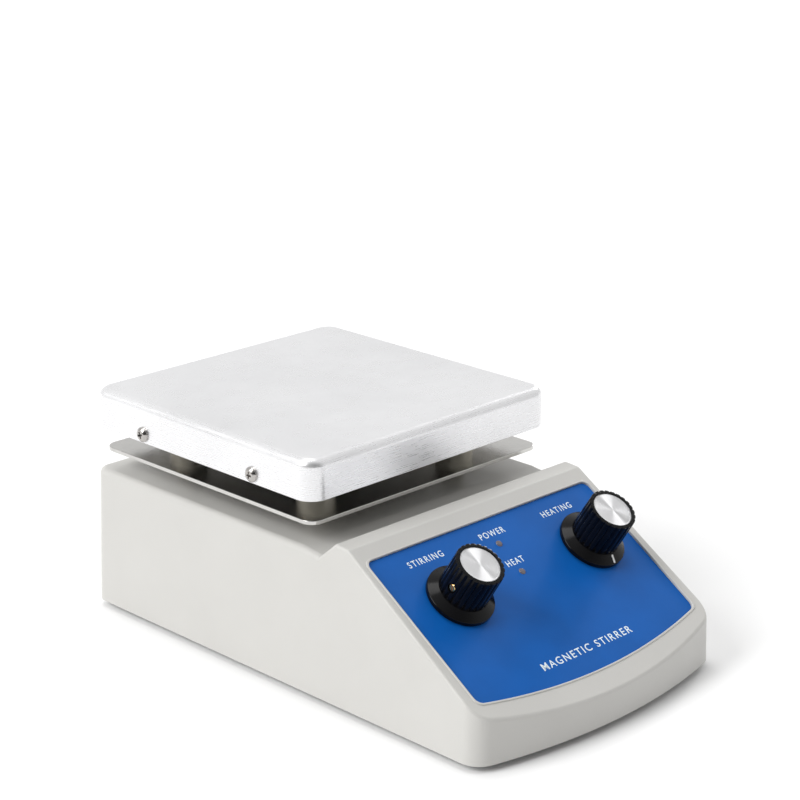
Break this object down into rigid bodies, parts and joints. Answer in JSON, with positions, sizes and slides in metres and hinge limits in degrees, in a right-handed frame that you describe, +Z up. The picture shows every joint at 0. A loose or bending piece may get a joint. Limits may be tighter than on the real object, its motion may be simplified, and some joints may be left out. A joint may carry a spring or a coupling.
{
  "type": "magnetic stirrer",
  "caption": "Compact laboratory magnetic stirrer with a square heated plate, a sloping control panel with two fluted knobs and lamps, and a mains inlet, switch and fuse at the rear.",
  "frame": {"origin": "on the table, under the middle of the object's box", "axes": "+Z up, the control slope faces -Y, +X to the right of a person at the controls"},
  "size_m": [0.1234, 0.22, 0.0872],
  "materials": {
    "case_grey": "satin moulded plastic",
    "panel_blue": "satin printed film",
    "knob_black": "gloss",
    "spun_aluminium": "fine turned rings",
    "pointer_white": "paint",
    "brass": "turned",
    "plate_aluminium": "fine satin",
    "stainless": "polished sheet",
    "bright_steel": "bright plated",
    "zinc_sheet": "zinc plated sheet",
    "rubber": "matt",
    "lamp_clear": "clear tinted epoxy",
    "black_plastic": "fine grain",
    "board_green": "solder mask",
    "copper": "enamelled wire",
    "ceramic_fibre": "matt fibre",
    "mica": "pressed sheet",
    "magnet_nickel": "nickel plated",
    "glass": "clear"
  },
  "bodies": {
    "base": {"case_shell": "case_grey", "base_plate": "zinc_sheet", "base_screws": "bright_steel", "rubber_feet": "rubber", "foot_screws": "bright_steel", "control_panel": "panel_blue", "power_lamp": "lamp_clear", "heat_lamp": "lamp_clear", "pot_bodies": "zinc_sheet", "pot_bushings": "brass", "pot_washers": "bright_steel", "pot_nuts": "bright_steel", "hot_plate": "plate_aluminium", "plate_pan": "zinc_sheet", "heat_shield": "stainless", "heater_disc": "mica", "heater_insulation": "ceramic_fibre", "plate_side_screws": "bright_steel", "plate_bolts": "bright_steel", "plate_standoffs": "stainless", "shield_spacers": "stainless", "bolt_nuts": "bright_steel", "motor_can": "zinc_sheet", "motor_field_magnets": "black_plastic", "motor_bearings": "brass", "motor_bracket": "zinc_sheet", "bracket_screws": "bright_steel", "motor_screws": "bright_steel", "circuit_board": "board_green", "transformer_core": "zinc_sheet", "transformer_winding": "copper", "heat_sink": "plate_aluminium", "triac": "black_plastic", "capacitors": "black_plastic", "board_standoffs": "brass", "board_screws": "bright_steel", "inlet_body": "black_plastic", "inlet_pins": "bright_steel", "inlet_screws": "bright_steel", "switch_frame": "black_plastic", "fuse_holder": "black_plastic", "fuse_holder_nut": "black_plastic"},
    "stirring_control": {"stirring_knob": "knob_black", "stirring_knob_cap": "spun_aluminium", "stirring_set_screw": "brass", "stirring_pointer": "pointer_white", "stirring_shaft": "bright_steel"},
    "heating_control": {"heating_knob": "knob_black", "heating_knob_cap": "spun_aluminium", "heating_set_screw": "brass", "heating_pointer": "pointer_white", "heating_shaft": "bright_steel"},
    "rotor": {"motor_shaft": "bright_steel", "motor_armature": "copper", "magnet_carrier": "plate_aluminium", "drive_magnets": "magnet_nickel"},
    "power_rocker": {"switch_rocker": "black_plastic"},
    "fuse_link": {"fuse_glass": "glass", "fuse_end_caps": "bright_steel"},
    "fuse_cap": {"fuse_cap": "black_plastic"}
  },
  "joints": [
    {"name": "stirring_turn", "type": "hinge", "parent": "base", "child": "stirring_control", "pos_m": [-0.0317, -0.06545, 0.04305], "axis": [0, -0.5468, 0.8372], "range_deg": [-150, 150]},
    {"name": "heating_turn", "type": "hinge", "parent": "base", "child": "heating_control", "pos_m": [0.0369, -0.06462, 0.0436], "axis": [0, -0.5468, 0.8372], "range_deg": [-300, 0]},
    {"name": "rotor_spin", "type": "hinge", "parent": "base", "child": "rotor", "pos_m": [0, 0.0369, 0.02], "axis": [0, 0, 1], "continuous": true},
    {"name": "power_rock", "type": "hinge", "parent": "base", "child": "power_rocker", "pos_m": [0.008, 0.0971, 0.027], "axis": [1, 0, 0], "range_deg": [0, 22]},
    {"name": "fuse_draw", "type": "slide", "parent": "base", "child": "fuse_link", "axis": [0, 1, 0], "range_m": [0, 0.03]},
    {"name": "fuse_cap_turn", "type": "hinge", "parent": "fuse_link", "child": "fuse_cap", "pos_m": [0.038, 0.105, 0.027], "axis": [0, 1, 0], "range_deg": [0, 90]}
  ]
}
